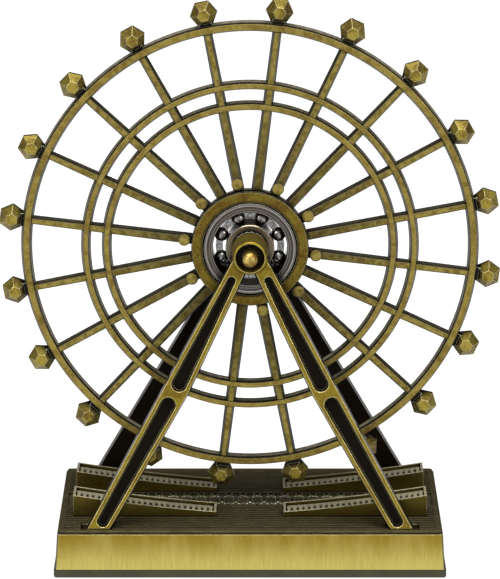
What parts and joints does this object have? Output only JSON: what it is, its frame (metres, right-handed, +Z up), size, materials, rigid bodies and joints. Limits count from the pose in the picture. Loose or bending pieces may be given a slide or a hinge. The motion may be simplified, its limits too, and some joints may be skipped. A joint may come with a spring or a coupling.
{
  "type": "desk ferris wheel",
  "caption": "Cast-metal desk ferris wheel: a spoked wheel with faceted capsules turns on an open ball bearing between two A-frames on a plinth.",
  "frame": {"origin": "centre of the base's underside, on the surface that the toy stands on", "axes": "+Z up, +Y from the front panel to the back, along the wheel's axle, +X to the right seen from the front"},
  "size_m": [0.1158, 0.0504, 0.1303],
  "materials": {
    "antique_bronze": "antique bronze plating on zinc castings, dark in the recesses and rubbed bright on the edges",
    "brushed_brass": "brushed brass, fine upright grain",
    "bearing_steel": "ground bearing steel",
    "cage_steel": "pressed steel, satin",
    "ball_steel": "polished steel",
    "screw_steel": "zinc-plated steel",
    "dark_pad": "dark matt non-slip pad"
  },
  "bodies": {
    "root": {"base_pad": "dark_pad", "base_plinth": "antique_bronze", "front_panel": "brushed_brass", "deck_plate": "antique_bronze", "ramp_front_left": "antique_bronze", "ramp_front_right": "antique_bronze", "ramp_rear_left": "antique_bronze", "ramp_rear_right": "antique_bronze", "base_screws": "screw_steel", "a_frame_front": "antique_bronze", "a_frame_rear": "antique_bronze", "axle_pin": "antique_bronze", "bearing_sleeve": "bearing_steel", "bearing_inner_ring": "bearing_steel"},
    "wheel": {"wheel_rim": "antique_bronze", "wheel_ring_outer": "antique_bronze", "wheel_ring_inner": "antique_bronze", "wheel_spokes": "antique_bronze", "wheel_capsules": "antique_bronze", "wheel_hub": "antique_bronze", "bearing_outer_ring": "bearing_steel"},
    "cage": {"bearing_cage_front": "cage_steel", "bearing_cage_rear": "cage_steel", "bearing_cage_rivets": "cage_steel"},
    "ball_1": {"bearing_ball_1": "ball_steel"},
    "ball_2": {"bearing_ball_2": "ball_steel"},
    "ball_3": {"bearing_ball_3": "ball_steel"},
    "ball_4": {"bearing_ball_4": "ball_steel"},
    "ball_5": {"bearing_ball_5": "ball_steel"},
    "ball_6": {"bearing_ball_6": "ball_steel"},
    "ball_7": {"bearing_ball_7": "ball_steel"},
    "ball_8": {"bearing_ball_8": "ball_steel"}
  },
  "joints": [
    {"name": "wheel_spin", "type": "hinge", "parent": "root", "child": "wheel", "pos_m": [0, 0, 0.0724], "axis": [0, 1, 0], "continuous": true},
    {"name": "cage_spin", "type": "hinge", "parent": "root", "child": "cage", "pos_m": [0, 0, 0.0724], "axis": [0, 1, 0], "continuous": true},
    {"name": "ball_1_roll", "type": "hinge", "parent": "cage", "child": "ball_1", "pos_m": [0.00272, 0, 0.07897], "axis": [0, 1, 0], "continuous": true},
    {"name": "ball_2_roll", "type": "hinge", "parent": "cage", "child": "ball_2", "pos_m": [0.00657, 0, 0.07512], "axis": [0, 1, 0], "continuous": true},
    {"name": "ball_3_roll", "type": "hinge", "parent": "cage", "child": "ball_3", "pos_m": [0.00657, 0, 0.06968], "axis": [0, 1, 0], "continuous": true},
    {"name": "ball_4_roll", "type": "hinge", "parent": "cage", "child": "ball_4", "pos_m": [0.00272, 0, 0.06583], "axis": [0, 1, 0], "continuous": true},
    {"name": "ball_5_roll", "type": "hinge", "parent": "cage", "child": "ball_5", "pos_m": [-0.00272, 0, 0.06583], "axis": [0, 1, 0], "continuous": true},
    {"name": "ball_6_roll", "type": "hinge", "parent": "cage", "child": "ball_6", "pos_m": [-0.00657, 0, 0.06968], "axis": [0, 1, 0], "continuous": true},
    {"name": "ball_7_roll", "type": "hinge", "parent": "cage", "child": "ball_7", "pos_m": [-0.00657, 0, 0.07512], "axis": [0, 1, 0], "continuous": true},
    {"name": "ball_8_roll", "type": "hinge", "parent": "cage", "child": "ball_8", "pos_m": [-0.00272, 0, 0.07897], "axis": [0, 1, 0], "continuous": true}
  ],
  "couplings": [
    {"joint": "cage_spin", "follows": "wheel_spin", "ratio": 0.60545},
    {"joint": "ball_1_roll", "follows": "wheel_spin", "ratio": 2.2654},
    {"joint": "ball_2_roll", "follows": "wheel_spin", "ratio": 2.2654},
    {"joint": "ball_3_roll", "follows": "wheel_spin", "ratio": 2.2654},
    {"joint": "ball_4_roll", "follows": "wheel_spin", "ratio": 2.2654},
    {"joint": "ball_5_roll", "follows": "wheel_spin", "ratio": 2.2654},
    {"joint": "ball_6_roll", "follows": "wheel_spin", "ratio": 2.2654},
    {"joint": "ball_7_roll", "follows": "wheel_spin", "ratio": 2.2654},
    {"joint": "ball_8_roll", "follows": "wheel_spin", "ratio": 2.2654}
  ]
}
